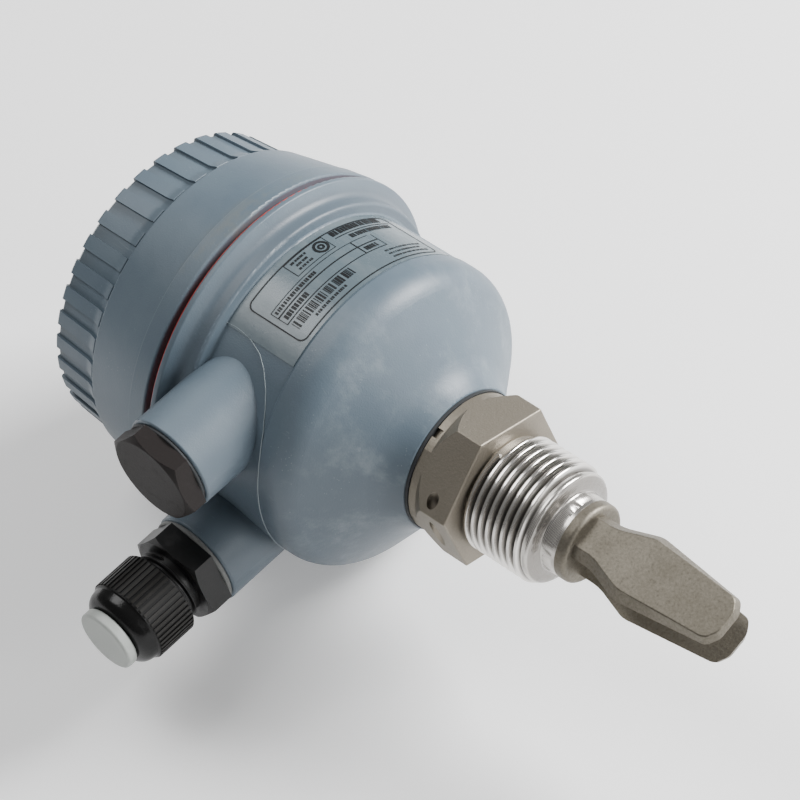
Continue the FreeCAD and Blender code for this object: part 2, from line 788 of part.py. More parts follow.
def make_terminal_block():
    corner = Vec(block_top, block_edge_y, -block_width / 2)
    block = Part.makeBox(block_height, block_depth, block_width, corner)
    port_low = board_top - port_lift - port_size
    cuts = []
    for z in terminal_places():
        port_corner = Vec(port_low, block_edge_y - cut_over, z - port_size / 2)
        cuts.append(Part.makeBox(port_size, port_depth + cut_over, port_size, port_corner))
        well_radius = terminal_screw_radius + screw_well_clearance
        cuts.append(peg(block_top - cut_over, screw_well_depth + cut_over, well_radius, screw_y, z))
    return block.cut(cuts)


def make_terminal_screws():
    start = block_top + screw_well_depth - terminal_screw_height
    length = 2 * (terminal_screw_radius + cut_over)
    screws = []
    for z in terminal_places():
        head = peg(start, terminal_screw_height, terminal_screw_radius, screw_y, z)
        slot = Part.makeBox(terminal_slot_depth, length, terminal_screw_slot,
                            Vec(start, screw_y - length / 2, z - terminal_screw_slot / 2))
        screws.append(head.cut(slot))
    return Part.makeCompound(screws)


def make_terminal_clamps():
    clamps = []
    size = port_size - 2 * clamp_clearance
    low_x = board_top - port_lift - size
    for z in terminal_places():
        start_y = block_edge_y + port_depth - clamp_clearance - clamp_length
        outer = Part.makeBox(size, clamp_length, size, Vec(low_x, start_y, z - size / 2))
        inner = Part.makeBox(size - 2 * clamp_wall, clamp_length + 2 * cut_over, size - 2 * clamp_wall,
                             Vec(low_x + clamp_wall, start_y - cut_over, z - size / 2 + clamp_wall))
        clamps.append(outer.cut(inner))
    return Part.makeCompound(clamps)


def make_selector_base():
    half = selector_base / 2
    start = board_top - selector_base_height
    base = Part.makeBox(selector_base_height, selector_base, selector_base,
                        Vec(start, selector_y - half, selector_z - half))
    well_radius = selector_radius + selector_well_clearance
    return base.cut(peg(start - cut_over, selector_recess + cut_over, well_radius, selector_y, selector_z))


def make_selector():
    start = board_top - selector_base_height + selector_recess - selector_height
    knob = peg(start, selector_height, selector_radius, selector_y, selector_z)
    length = 2 * (selector_radius - selector_slot_inset)
    slot = Part.makeBox(selector_slot_depth, length, selector_slot_width,
                        Vec(start, selector_y - length / 2, selector_z - selector_slot_width / 2))
    return knob.cut(slot)


def make_leds():
    lamp = rod(board_top - led_height, board_top, led_radius, led_dome_rounding)
    foot = rod(board_top - led_foot_height, board_top, led_radius + led_foot_step)
    lamps = []
    for side in (0, 1):
        body = lamp.fuse(foot).removeSplitter()
        body.translate(Vec(0, led_y, led_z - side * led_spacing))
        lamps.append(body)
    return Part.makeCompound(lamps)


def make_connector():
    return Part.makeBox(connector_height, connector_depth, connector_width,
                        Vec(ledge, -connector_depth / 2, -connector_width / 2))


# Sensor stack, from the diaphragm back towards the electronics
press_back = diaphragm - press_disc_thickness
insulator_back = press_back - insulator_thickness
piezo_places = []
electrode_places = []
place = insulator_back
for number in range(3):
    place = place - piezo_thickness
    piezo_places.append(place)
    if number < 2:
        place = place - electrode_thickness
        electrode_places.append(place)
rear_insulator = piezo_places[2] - insulator_thickness
stack_nut_back = rear_insulator - stack_nut_thickness


def make_stud():
    return rod(stack_nut_back - stud_spare, diaphragm, stud_radius)


def make_press_disc():
    return tube(press_back, diaphragm, press_disc_radius, stud_radius + stack_fit)


def make_insulators():
    bore = stud_radius + insulator_clearance
    places = (insulator_back, rear_insulator)
    return Part.makeCompound([tube(x, x + insulator_thickness, insulator_radius, bore) for x in places])


def make_piezo(places):
    return Part.makeCompound([tube(x, x + piezo_thickness, piezo_radius, piezo_bore) for x in places])


def make_electrodes():
    # Two rings whose tabs point to opposite sides, one towards each lead
    rings = []
    for turn, x in zip((0, 180), electrode_places):
        ring = tube(x, x + electrode_thickness, electrode_radius, piezo_bore)
        tab = Part.makeBox(electrode_thickness, tab_width, tab_reach - electrode_radius + tab_root,
                           Vec(x, -tab_width / 2, electrode_radius - tab_root))
        rings.append(about_x(ring.fuse(tab).removeSplitter(), turn))
    return Part.makeCompound(rings)


def make_stack_nut():
    nut = hexagon(stack_nut_back, rear_insulator, stack_nut_across_flats, 0)
    return nut.cut(rod(stack_nut_back - cut_over, rear_insulator + cut_over, stud_radius + stack_fit))


def make_leads():
    leads = []
    for side, x in zip((1, -1), electrode_places):
        lead = rod(ledge + connector_height, x, lead_radius)
        lead.translate(Vec(0, 0, side * lead_offset))
        leads.append(lead)
    return Part.makeCompound(leads)


os.makedirs("parts", exist_ok=True)
save("process_fork", make_process_fork())
save("housing", make_housing())
save("cover", make_cover())
save("cover_seal", make_cover_seal())
save("rating_label", make_label())
save("blanking_plug", make_plug())
save("blanking_plug_seal", make_plug_seal())
save("gland_seal_washer", make_gland_washer())
save("gland_body", make_gland_body())
save("gland_grommet", make_grommet())
save("gland_slip_ring", make_slip_ring())
save("gland_nut", make_gland_nut())
save("transit_plug", make_transit_plug())
save("neck_seal", make_neck_seal())
save("stem_lock_ring", make_lock_ring())
save("electronics_module", make_module())
save("module_screws", make_module_screws())
save("circuit_board", make_board())
save("terminal_block", make_terminal_block())
save("terminal_screws", make_terminal_screws())
save("terminal_clamps", make_terminal_clamps())
save("selector_base", make_selector_base())
save("mode_selector", make_selector())
save("status_leds", make_leds())
save("sensor_connector", make_connector())
save("tie_stud", make_stud())
save("pressure_disc", make_press_disc())
save("piezo_insulators", make_insulators())
save("drive_piezos", make_piezo(piezo_places[:2]))
save("sense_piezo", make_piezo(piezo_places[2:]))
save("piezo_electrodes", make_electrodes())
save("stack_nut", make_stack_nut())
save("sensor_leads", make_leads())
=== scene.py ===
import bpy
import math
from mathutils import Matrix, Vector


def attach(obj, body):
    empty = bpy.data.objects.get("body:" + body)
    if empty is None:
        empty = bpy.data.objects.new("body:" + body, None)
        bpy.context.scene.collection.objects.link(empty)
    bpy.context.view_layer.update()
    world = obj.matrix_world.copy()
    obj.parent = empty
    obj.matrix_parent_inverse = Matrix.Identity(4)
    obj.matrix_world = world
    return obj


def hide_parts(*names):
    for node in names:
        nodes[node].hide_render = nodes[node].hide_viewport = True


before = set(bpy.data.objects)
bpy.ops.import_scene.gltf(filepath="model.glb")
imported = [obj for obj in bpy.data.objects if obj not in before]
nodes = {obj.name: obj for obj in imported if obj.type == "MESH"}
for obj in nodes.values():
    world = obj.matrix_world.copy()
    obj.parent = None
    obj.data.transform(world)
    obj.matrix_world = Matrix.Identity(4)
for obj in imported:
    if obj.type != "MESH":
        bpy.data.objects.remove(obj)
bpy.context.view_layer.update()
scene = bpy.context.scene
print("frame loaded,", len(nodes), "nodes")

entries = {"x": -0.0589, "z": 0.0194}    # plug at +Z, gland at -Z
closeBy = {"along": 0.00002, "around": 0.00003}


def clearSelection():
    if bpy.context.mode != "OBJECT":
        bpy.ops.object.mode_set(mode="OBJECT")
    bpy.ops.object.select_all(action="DESELECT")


def pick(piece):
    clearSelection()
    piece.select_set(True)
    bpy.context.view_layer.objects.active = piece


def settle(piece):                       # place goes into the mesh, as on a CAD node
    pick(piece)
    bpy.ops.object.transform_apply(location=True, rotation=True, scale=True)


def finishPiece(piece, name, body, paint, angle=35, likeNode=None):
    settle(piece)
    bpy.ops.object.shade_smooth_by_angle(angle=math.radians(angle))
    if likeNode is not None:
        keepNormals(piece, likeNode)
    piece.name = name
    piece.data.materials.clear()
    piece.data.materials.append(paint)
    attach(piece, body)
    return piece


def editFaces(piece, keep):              # selects the faces whose centre passes a test
    pick(piece)
    bpy.ops.object.mode_set(mode="EDIT")
    bpy.ops.mesh.select_mode(type="FACE")
    bpy.ops.mesh.select_all(action="DESELECT")
    bpy.ops.object.mode_set(mode="OBJECT")
    for face in piece.data.polygons:
        face.select = keep(face.center)
    bpy.ops.object.mode_set(mode="EDIT")


def editPoints(piece, keep):
    pick(piece)
    bpy.ops.object.mode_set(mode="EDIT")
    bpy.ops.mesh.select_mode(type="VERT")
    bpy.ops.mesh.select_all(action="DESELECT")
    bpy.ops.object.mode_set(mode="OBJECT")
    for point in piece.data.vertices:
        point.select = keep(point.co)
    bpy.ops.object.mode_set(mode="EDIT")


def keepNormals(piece, nodeName):        # each face takes its corner normals from the CAD face it came from
    source = nodes[nodeName].data
    normals = []
    for face, home in zip(piece.data.polygons, piece.data.attributes["home"].data):
        start = source.polygons[home.value].loop_start
        if nodeName == "process_fork" and onHub(face.center):
            normals += [Vector()] * face.loop_total      # built here, shaded by its own angles
        else:
            normals += [source.corner_normals[start + k].vector for k in range(face.loop_total)]
    piece.data.normals_split_custom_set(normals)
    piece.data.attributes.remove(piece.data.attributes["home"])


def joinPieces(pieces):
    pick(pieces[0])
    for piece in pieces:
        piece.select_set(True)
    bpy.ops.object.join()
    return bpy.context.object


def copyNode(nodeName):                  # merged copy of a CAD node, to be worked on
    pick(nodes[nodeName])
    bpy.ops.object.duplicate()
    piece = bpy.context.object
    home = piece.data.attributes.new("home", "INT", "FACE")
    home.data.foreach_set("value", range(len(piece.data.polygons)))
    bpy.ops.object.mode_set(mode="EDIT")
    bpy.ops.mesh.select_all(action="SELECT")
    bpy.ops.mesh.remove_doubles(threshold=0.000001)
    bpy.ops.object.mode_set(mode="OBJECT")
    return piece


def cutToRoot(piece, near, thread, centre, scaleAxes):  # the plain wall goes down to the thread's root
    factor = thread["root"] / thread["wall"]
    editPoints(piece, near)
    bpy.ops.transform.resize(value=tuple(factor if k in scaleAxes else 1.0 for k in range(3)),
                             center_override=centre)
    bpy.ops.object.mode_set(mode="OBJECT")


def makeRidge(thread):                   # one closed helical ridge round X
    height = thread["crest"] - thread["root"] + thread["sink"]
    middle = (thread["crest"] + thread["root"] - thread["sink"]) / 2
    clearSelection()
    bpy.ops.mesh.primitive_plane_add(size=1, location=(thread["from"], 0, middle),
                                     rotation=(math.pi / 2, 0, 0))
    ridge = bpy.context.object
    ridge.scale = (thread["foot"], height, 1)
    settle(ridge)
    top = thread["crest"] - height * 0.1
    editPoints(ridge, lambda p: p.z > top)
    flat = thread["flat"] / thread["foot"]
    bpy.ops.transform.resize(value=(flat, 1, 1), center_override=(thread["from"], 0, thread["crest"]))
    bpy.ops.mesh.bevel(offset=thread["flat"] * 0.15, segments=1, affect="VERTICES")
    bpy.ops.mesh.select_all(action="SELECT")
    bpy.ops.mesh.delete(type="ONLY_FACE")
    bpy.ops.object.mode_set(mode="OBJECT")
    ridge.location = (0, 0, 0)
    turns = (thread["to"] - thread["from"]) / thread["pitch"]
    screw = ridge.modifiers.new("turns", "SCREW")
    screw.axis = "X"
    screw.angle = 2 * math.pi * turns
    screw.screw_offset = thread["to"] - thread["from"]
    screw.steps = int(thread["steps"] * turns)
    screw.render_steps = screw.steps
    screw.use_smooth_shade = False
    pick(ridge)
    bpy.ops.object.modifier_apply(modifier="turns")
    bpy.ops.object.mode_set(mode="EDIT")
    bpy.ops.mesh.select_mode(type="VERT")
    bpy.ops.mesh.select_all(action="DESELECT")
    bpy.ops.mesh.select_non_manifold()
    runOut = (thread["root"] - thread["sink"] / 2) / thread["crest"]
    bpy.ops.transform.resize(value=(1, runOut, runOut), center_override=(0, 0, 0))
    bpy.ops.mesh.fill_holes(sides=20)
    bpy.ops.mesh.select_all(action="SELECT")
    bpy.ops.mesh.normals_make_consistent(inside=False)
    bpy.ops.object.mode_set(mode="OBJECT")
    return ridge


def turnToEntry(piece, side):            # X of the piece points out of an entry, towards -Y
    piece.rotation_euler = (0, 0, -math.pi / 2)
    piece.location = (entries["x"], 0, side * entries["z"])
    settle(piece)


class Signal:
    def __init__(self, paint, socket):
        self.paint = paint
        self.socket = socket

    def math(self, operation, other=None, swapped=False):
        if other is None:
            return self.paint.node("ShaderNodeMath", {"operation": operation}, {0: self})
        pair = {0: other, 1: self} if swapped else {0: self, 1: other}
        return self.paint.node("ShaderNodeMath", {"operation": operation}, pair)

    def __add__(self, other): return self.math("ADD", other)
    def __radd__(self, other): return self.math("ADD", other, True)
    def __sub__(self, other): return self.math("SUBTRACT", other)
    def __rsub__(self, other): return self.math("SUBTRACT", other, True)
    def __mul__(self, other): return self.math("MULTIPLY", other)
    def __rmul__(self, other): return self.math("MULTIPLY", other, True)
    def __truediv__(self, other): return self.math("DIVIDE", other)
    def __rtruediv__(self, other): return self.math("DIVIDE", other, True)
    def __pow__(self, other): return self.math("POWER", other)

    def ramp(self, low, high, toLow=0.0, toHigh=1.0):       # smooth step between two values
        settings = {"interpolation_type": "SMOOTHSTEP"}
        sockets = {"Value": self, "From Min": low, "From Max": high, "To Min": toLow, "To Max": toHigh}
        return self.paint.node("ShaderNodeMapRange", settings, sockets)


class Paint:
    def __init__(self, name, colour, roughness=0.5, metallic=0.0, **fixed):
        self.material = bpy.data.materials.new(name)
        self.material.use_nodes = True
        self.tree = self.material.node_tree
        self.shader = next(n for n in self.tree.nodes if n.type == "BSDF_PRINCIPLED")
        self.shader.inputs["Base Color"].default_value = (*colour, 1)
        self.shader.inputs["Roughness"].default_value = roughness
        self.shader.inputs["Metallic"].default_value = metallic
        for key, value in fixed.items():
            self.shader.inputs[key.replace("_", " ")].default_value = value
        self.material.diffuse_color = (*colour, 1)
        self.place = self.node("ShaderNodeTexCoord", {}, {}, "Object")
        self.bumps = None

    def node(self, kind, settings=None, sockets=None, output=0):
        made = self.tree.nodes.new(kind)
        for key, value in (settings or {}).items():
            if key == "stops":
                for index, (position, tone) in enumerate(value):
                    elements = made.color_ramp.elements
                    stop = elements[index] if index < 2 else elements.new(position)
                    stop.position = position
                    stop.color = (*tone, 1)
            else:
                setattr(made, key, value)
        for key, value in (sockets or {}).items():
            if isinstance(value, Signal):
                self.tree.links.new(value.socket, made.inputs[key])
            else:
                made.inputs[key].default_value = value
        return Signal(self, made.outputs[output])

    def noise(self, scale, detail=3.0, roughness=0.55, stretch=None, distortion=0.0):
        where = self.place
        if stretch is not None:
            where = self.node("ShaderNodeVectorMath", {"operation": "MULTIPLY"},
                              {0: self.place, 1: stretch})
        sockets = {"Vector": where, "Scale": scale, "Detail": detail, "Roughness": roughness,
                   "Distortion": distortion}
        return self.node("ShaderNodeTexNoise", {}, sockets, "Fac")

    def cells(self, scale, feature="F1", output="Distance"):
        sockets = {"Vector": self.place, "Scale": scale}
        return self.node("ShaderNodeTexVoronoi", {"feature": feature}, sockets, output)

    def axes(self):
        parts = self.node("ShaderNodeSeparateXYZ", {}, {0: self.place})
        splitter = parts.socket.node
        return [Signal(self, splitter.outputs[k]) for k in range(3)]

    def blend(self, first, second, factor):
        first = (*first, 1) if isinstance(first, tuple) else first
        second = (*second, 1) if isinstance(second, tuple) else second
        return self.node("ShaderNodeMix", {"data_type": "RGBA"}, {0: factor, 6: first, 7: second}, 2)

    def bump(self, height, distance, strength=1.0):
        sockets = {"Height": height, "Distance": distance, "Strength": strength}
        if self.bumps is not None:
            sockets["Normal"] = self.bumps
        self.bumps = self.node("ShaderNodeBump", {}, sockets)

    def done(self, colour=None, roughness=None, metallic=None, coat=None):
        feeds = {"Base Color": colour, "Roughness": roughness, "Metallic": metallic, "Coat Weight": coat,
                 "Normal": self.bumps}
        for key, value in feeds.items():
            if value is not None:
                self.tree.links.new(value.socket, self.shader.inputs[key])
        return self.material


# the darkest grey tone is painted shade for the valleys between the cover's pads
mouldedTones = {"base": (0.080, 0.111, 0.140), "pale": (0.102, 0.135, 0.162), "dull": (0.068, 0.088, 0.108),
                "scuff": (0.26, 0.30, 0.32), "valleyShadeTone": (0.070, 0.074, 0.074), "olive": (0.145, 0.150, 0.130)}


def makeMouldedBlue(name, grip):
    tones = mouldedTones
    paint = Paint(name, tones["base"], 0.42, Specular_IOR_Level=0.45)
    x, y, z = paint.axes()
    radius = (y * y + z * z) ** 0.5
    cloud = paint.noise(26.0, 4.0, 0.6).ramp(0.36, 0.66)
    drift = paint.noise(9.0, 2.0, 0.5).ramp(0.38, 0.62)
    grain = paint.noise(2400.0, 2.0, 0.5)
    fleck = paint.cells(900.0).ramp(0.10, 0.16, 1.0, 0.0) * paint.noise(120.0, 2.0).ramp(0.55, 0.62)
    scrape = paint.noise(60.0, 5.0, 0.7, (0.35, 3.2, 3.2), 0.6).ramp(0.66, 0.72)
    tone = paint.blend(tones["base"], tones["pale"], cloud * 0.7)
    tone = paint.blend(tone, tones["dull"], drift * 0.55)
    tone = paint.blend(tone, tones["scuff"], scrape * 0.22 + fleck * 0.30)
    if not grip:                             # chalky patches on the shoulder near the neck
        chalk = paint.noise(48.0, 6.0, 0.72, (1.0, 1.6, 1.6)).ramp(0.48, 0.74) * x.ramp(-0.050, -0.028)
        tone = paint.blend(tone, tones["scuff"], chalk * 0.30)
        # painted shade: the concave cove behind the rim is painted a duller, darker blue
        coveShade = x.ramp(-0.0733, -0.0718) * x.ramp(-0.0680, -0.0668, 1.0, 0.0)
        tone = paint.blend(tone, tones["dull"], coveShade * 0.65)
    if grip:                                 # painted shade in the valleys between the pads; an olive smear and a pale parting line
        # painted shade: the valleys between the pads are darker, most at the cover's closed end
        valleyShade = radius.ramp(0.0412, 0.0420, 1.0, 0.0) * x.ramp(-0.1165, -0.1015, 1.0, 0.3)
        tone = paint.blend(tone, tones["valleyShadeTone"], valleyShade * 0.30)
        smear = paint.noise(34.0, 5.0, 0.7, (2.0, 1.0, 1.0)).ramp(0.55, 0.70) * x.ramp(-0.0865, -0.0800)
        tone = paint.blend(tone, tones["olive"], smear * 0.45)
        parting = x.ramp(-0.08358, -0.08348) * x.ramp(-0.08336, -0.08326, 1.0, 0.0)
        tone = paint.blend(tone, tones["scuff"], parting * 0.35)
    rough = 0.40 + grain * 0.06 + scrape * 0.10 + cloud * 0.05
    paint.bump(grain, 0.00004)
    paint.bump(paint.noise(70.0, 3.0), 0.00035, 0.5)
    return paint.done(tone, rough)


castTones = {"base": (0.140, 0.126, 0.100), "dark": (0.072, 0.064, 0.050), "light": (0.205, 0.187, 0.154),
             "hexagon": (0.285, 0.254, 0.207)}


def makeCastSteel(name):                     # blasted investment casting, the hub turned bright
    paint = Paint(name, castTones["base"], 0.45, 0.9)
    x, y, z = paint.axes()
    radius = (y * y + z * z) ** 0.5
    bright = x.ramp(0.0002, 0.0004) * x.ramp(0.0258, 0.0260, 1.0, 0.0)
    grain = paint.noise(1500.0, 3.0, 0.6)
    blotch = paint.noise(75.0, 4.0, 0.6).ramp(0.35, 0.68)
    pits = paint.cells(620.0).ramp(0.05, 0.22, 1.0, 0.0) * paint.noise(150.0).ramp(0.5, 0.6)
    turning = paint.node("ShaderNodeTexWave", {"wave_type": "BANDS", "bands_direction": "X"},
                         {"Vector": paint.place, "Scale": 900.0, "Distortion": 0.4, "Detail": 1.0}, "Fac")
    tone = paint.blend(castTones["base"], castTones["light"], blotch * 0.45 + grain.ramp(0.50, 0.38) * 0.25)
    tone = paint.blend(tone, castTones["dark"], grain.ramp(0.52, 0.75) * 0.45 + pits * 0.15)
    tone = paint.blend(tone, castTones["hexagon"], x.ramp(0.0001, 0.0003, 0.62, 0.0))
    # painted shade: the thread roots along the turned length are painted dark
    root = x.ramp(0.0186, 0.0190, 1.0, 0.0) * bright
    tone = paint.blend(tone, (0.47, 0.45, 0.42), bright)
    # painted shade and dark reflection: a dark band round the hub's rounded end face
    foot = x.ramp(0.0206, 0.0209) * x.ramp(0.0216, 0.0219, 1.0, 0.0)
    tone = paint.blend(tone, (0.12, 0.11, 0.10), root * x.ramp(0.0016, 0.0026) * 0.8 + foot * 0.65)
    rough = (0.47 + grain * 0.12) * (1 - bright) + (0.23 + turning * 0.05) * bright
    paint.bump((grain - pits * 0.5) * (1 - bright), 0.00009, 0.8)
    return paint.done(tone, rough)


def makeBrightThread(name):                  # bright crests with darker smears; the roots painted dark as shade
    paint = Paint(name, (0.66, 0.64, 0.61), 0.2, 1.0)
    y, z = paint.axes()[1:]
    # painted shade: the ridge is painted darker towards the thread root
    depth = ((y * y + z * z) ** 0.5).ramp(0.0149, 0.0160, 1.0, 0.0)
    smear = paint.noise(30.0, 3.0).ramp(0.42, 0.66)
    fine = paint.noise(900.0, 3.0, 0.6)
    tone = paint.blend((0.68, 0.66, 0.63), (0.52, 0.50, 0.47), smear * 0.5)
    tone = paint.blend(tone, (0.10, 0.095, 0.088), depth * 0.85)
    rough = 0.17 + smear * 0.06 + depth * 0.20 + fine * 0.03
    paint.bump(fine, 0.00001)
    return paint.done(tone, rough)


def makeNylon(name, tone, roughness, haze=0.06, shine=0.5):
    paint = Paint(name, tone, roughness, Specular_IOR_Level=shine)
    dust = paint.noise(180.0, 5.0, 0.65).ramp(0.52, 0.72)
    grain = paint.noise(2200.0, 2.0)
    dusty = tuple(c + haze for c in tone)
    colour = paint.blend(tone, dusty, dust * 0.55 + grain * 0.12)
    rough = roughness + dust * 0.12 + grain * 0.05
    paint.bump(grain, 0.00003)
    return paint.done(colour, rough)


def makeNutNylon(name):                      # satin ribs, painted lighter on their tops and darker between them as light and shade, a polished dome in front
    paint = Paint(name, (0.006, 0.006, 0.006), 0.3, Specular_IOR_Level=0.22)
    x, y, z = paint.axes()
    across = x - entries["x"]
    up = z + entries["z"]
    grip = y.ramp(-0.0790, -0.0786)
    # painted light and shade: rib tops lighter than the valleys between the ribs
    top = ((across * across + up * up) ** 0.5).ramp(0.01172, 0.01190) * grip
    dust = paint.noise(240.0, 5.0, 0.65).ramp(0.50, 0.72)
    tone = paint.blend((0.0045, 0.0045, 0.0045), (0.014, 0.013, 0.0115), top * 0.8 + dust * 0.12)
    paint.bump(paint.noise(2200.0, 2.0), 0.00003)
    return paint.done(tone, 0.20 + grip * 0.22 + dust * 0.06)


def makePlated(name, tone=(0.58, 0.57, 0.54), roughness=0.28):
    paint = Paint(name, tone, roughness, 1.0)
    cloud = paint.noise(300.0, 4.0, 0.6).ramp(0.4, 0.7)
    scratch = paint.noise(900.0, 3.0, 0.6, (6.0, 1.0, 1.0))
    colour = paint.blend(tone, tuple(c * 0.72 for c in tone), cloud * 0.5)
    paint.bump(scratch, 0.00002)
    return paint.done(colour, roughness + cloud * 0.12 + scratch * 0.06)


def makeRubber(name, tone, roughness=0.6):
    paint = Paint(name, tone, roughness, Specular_IOR_Level=0.4)
    bloom = paint.noise(260.0, 5.0, 0.7).ramp(0.5, 0.75)
    colour = paint.blend(tone, tuple(c * 1.7 + 0.02 for c in tone), bloom * 0.5)
    paint.bump(paint.noise(1800.0, 3.0), 0.00004)
    return paint.done(colour, roughness + bloom * 0.1)


def makeSealRubber(name):                    # red lip, the ring behind it painted dark as shade deep in the gap
    paint = Paint(name, (0.30, 0.03, 0.02), 0.5, Specular_IOR_Level=0.4)
    x = paint.axes()[0]
    lip = x.ramp(-0.07635, -0.07610)
    bloom = paint.noise(150.0, 5.0, 0.7).ramp(0.42, 0.68)
    # painted shade: the seal behind the lip is painted near black
    tone = paint.blend((0.030, 0.030, 0.024), (0.52, 0.045, 0.028), lip)
    tone = paint.blend(tone, (0.12, 0.025, 0.02), bloom * 0.4)
    paint.bump(paint.noise(1800.0, 3.0), 0.00004)
    return paint.done(tone, 0.48 + bloom * 0.1)


def makeCeramic(name, tone, roughness=0.5):
    paint = Paint(name, tone, roughness)
    speck = paint.cells(2500.0).ramp(0.1, 0.3, 1.0, 0.0)
    colour = paint.blend(tone, tuple(c * 0.7 for c in tone), speck * 0.3 + paint.noise(400.0) * 0.2)
    paint.bump(paint.noise(2600.0, 3.0), 0.00002)
    return paint.done(colour, roughness + speck * 0.08)


def makeBoard(name):                         # solder resist over copper tracks, with pads
    paint = Paint(name, (0.02, 0.13, 0.06), 0.3, Coat_Roughness=0.1)
    y, z = paint.axes()[1:]
    flat = paint.node("ShaderNodeCombineXYZ", {}, {0: y, 1: z, 2: 0.0})
    tracks = paint.node("ShaderNodeTexBrick", {}, {"Vector": flat, "Scale": 420.0, "Mortar Size": 0.06,
                                                   "Brick Width": 1.7, "Row Height": 0.6}, "Fac")
    vias = paint.cells(330.0).ramp(0.12, 0.16, 1.0, 0.0)
    colour = paint.blend((0.016, 0.115, 0.050), (0.035, 0.20, 0.085), tracks)
    colour = paint.blend(colour, (0.60, 0.58, 0.52), vias)
    paint.bump(tracks + vias * 0.5, 0.00003)
    return paint.done(colour, 0.30 + vias * 0.1, vias * 0.9)


def makeFilm(name):                          # polyester film; the shade follows the housing under it
    paint = Paint(name, (0.34, 0.40, 0.43), 0.28, Specular_IOR_Level=0.5)
    smear = paint.noise(55.0, 4.0, 0.6, (1.0, 2.5, 2.5)).ramp(0.42, 0.68)
    dust = paint.noise(700.0, 4.0, 0.7).ramp(0.56, 0.74)
    colour = paint.blend((0.085, 0.113, 0.130), (0.104, 0.132, 0.146), smear)
    colour = paint.blend(colour, (0.22, 0.24, 0.24), dust * 0.12)
    paint.bump(paint.noise(240.0, 3.0), 0.00005)
    return paint.done(colour, 0.26 + smear * 0.12 + dust * 0.08)


def makeLens(name):
    paint = Paint(name, (0.42, 0.50, 0.34), 0.12, Coat_Weight=0.4)
    swirl = paint.noise(900.0, 2.0)
    return paint.done(paint.blend((0.40, 0.48, 0.32), (0.55, 0.62, 0.45), swirl), 0.10 + swirl * 0.08)


finishes = {
    "housing": makeMouldedBlue("mouldedBlueHousing", False),
    "cover": makeMouldedBlue("mouldedBlueCover", True),
    "castSteel": makeCastSteel("blastedCastSteel"),
    "brightThread": makeBrightThread("turnedThread"),
    "film": makeFilm("labelFilm"),
    "bead": makeNylon("mouldLinePlastic", (0.21, 0.25, 0.27), 0.4, 0.05),
    "ink": makeNylon("labelInk", (0.004, 0.005, 0.006), 0.5, 0.01, 0.3),
    "plug": makeNylon("plugPlastic", (0.013, 0.0105, 0.010), 0.45, 0.012, 0.14),
    "nylon": makeNylon("glandNylon", (0.0050, 0.0050, 0.0050), 0.34, 0.012, 0.3),
    "nutNylon": makeNutNylon("glandNutNylon"),
    "nylonRing": makeNylon("slipRingNylon", (0.05, 0.05, 0.05), 0.45),
    "transit": makeNylon("transitPlastic", (0.33, 0.35, 0.33), 0.42, 0.08),
    "washer": makeRubber("greyWasher", (0.115, 0.118, 0.115), 0.55),
    "darkRubber": makeRubber("darkRubber", (0.018, 0.020, 0.022)),
    "redSilicone": makeSealRubber("redSilicone"),
    "plated": makePlated("zincPlate"),
    "screw": makePlated("zincScrew", (0.60, 0.59, 0.55), 0.32),
    "brass": makePlated("contactSheet", (0.72, 0.50, 0.20), 0.35),
    "case": makeNylon("pottedCase", (0.016, 0.017, 0.019), 0.5, 0.05),
    "board": makeBoard("solderResist"),
    "terminal": makeNylon("terminalGrey", (0.14, 0.15, 0.155), 0.45, 0.05),
    "switch": makeNylon("switchBlack", (0.022, 0.022, 0.024), 0.4),
    "selector": makeNylon("selectorOrange", (0.55, 0.23, 0.03), 0.4, 0.04),
    "lens": makeLens("lampLens"),
    "connector": makeNylon("connectorNatural", (0.60, 0.57, 0.48), 0.45, 0.05),
    "alumina": makeCeramic("aluminaWhite", (0.70, 0.68, 0.63)),
    "piezo": makeCeramic("firedPiezo", (0.22, 0.19, 0.13), 0.6),
    "lead": makeRubber("leadRed", (0.28, 0.02, 0.016), 0.42),
}
nodeFinish = {
    "housing": "housing", "cover": "cover", "rating_label": "film", "process_fork": "castSteel",
    "neck_seal": "darkRubber", "stem_lock_ring": "plated", "cover_seal": "redSilicone", "blanking_plug": "plug",
    "blanking_plug_seal": "darkRubber", "gland_body": "nylon", "gland_seal_washer": "washer",
    "gland_grommet": "darkRubber", "gland_slip_ring": "nylonRing", "gland_nut": "nutNylon",
    "transit_plug": "transit", "electronics_module": "case", "module_screws": "screw", "circuit_board": "board",
    "terminal_block": "terminal", "terminal_screws": "screw", "terminal_clamps": "plated",
    "selector_base": "switch", "mode_selector": "selector", "status_leds": "lens",
    "sensor_connector": "connector", "tie_stud": "plated", "pressure_disc": "plated",
    "piezo_insulators": "alumina", "drive_piezos": "piezo", "sense_piezo": "piezo",
    "piezo_electrodes": "brass", "stack_nut": "plated", "sensor_leads": "lead",
}
for nodeName, node in nodes.items():
    node.data.materials.clear()
    node.data.materials.append(finishes[nodeFinish[nodeName]])
print("finishes made,", len(finishes))


forkThread = {"wall": 0.0162, "root": 0.01470, "crest": 0.01620, "sink": 0.0003, "foot": 0.00228,
              "flat": 0.00066, "pitch": 0.00231, "from": 0.00118, "to": 0.0183, "steps": 72}
# The hub behind the thread is turned: a rounded end face, then a bright journal that runs into the collar
hub = {"from": 0.0201, "to": 0.0249, "inside": 0.0102, "start": 0.0152, "end": 0.0108,
       "profile": [(0.0205, 0.01507), (0.0208, 0.01470), (0.0210, 0.01400), (0.0212, 0.01270), (0.0214, 0.01150),
                   (0.0217, 0.01105), (0.0222, 0.01088)]}


def onHub(p):
    return hub["from"] < p.x < hub["to"] and math.hypot(p.y, p.z) > hub["inside"]


